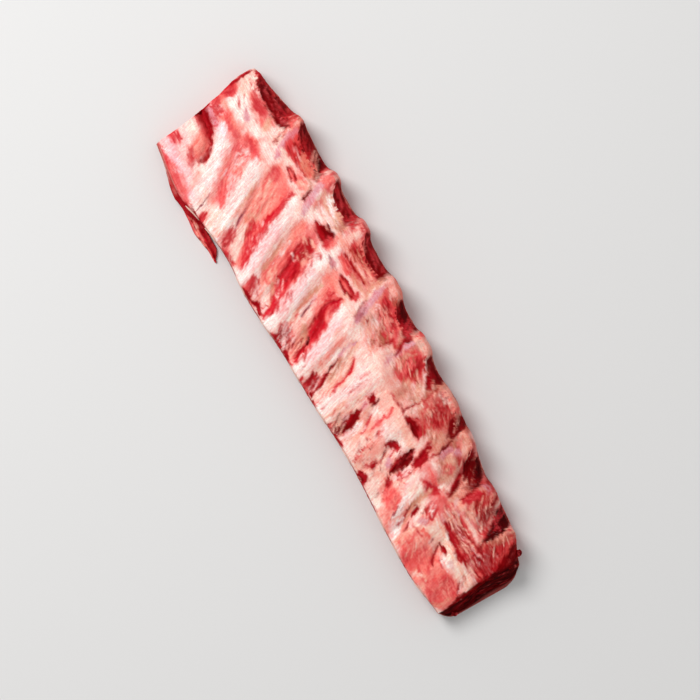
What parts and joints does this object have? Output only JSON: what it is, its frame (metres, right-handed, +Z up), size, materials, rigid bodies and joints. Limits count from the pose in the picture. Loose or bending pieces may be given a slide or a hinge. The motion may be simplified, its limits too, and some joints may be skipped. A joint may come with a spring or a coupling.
{
  "type": "raw rack of ribs",
  "caption": "Raw rack of pork back ribs lying on its meat side, bone side up: a long slab of meat and fat with rib bones running across it to knobbed heads on one edge.",
  "frame": {"origin": "on the surface that the rack lies on, under the middle of its bounding box", "axes": "+X along the rack from the wide end to the narrow end, +Y from the sawn belly edge to the chine edge with the rib heads, +Z up, out of the bone side"},
  "size_m": [0.4041, 0.1091, 0.0328],
  "materials": {
    "raw_meat": "satin",
    "rib_bone": "satin"
  },
  "bodies": {
    "root": {"meat_slab": "raw_meat", "rib_bone_01": "rib_bone", "rib_bone_02": "rib_bone", "rib_bone_03": "rib_bone", "rib_bone_04": "rib_bone", "rib_bone_05": "rib_bone", "rib_bone_06": "rib_bone", "rib_bone_07": "rib_bone", "rib_bone_08": "rib_bone", "rib_bone_09": "rib_bone", "rib_bone_10": "rib_bone"}
  },
  "joints": []
}
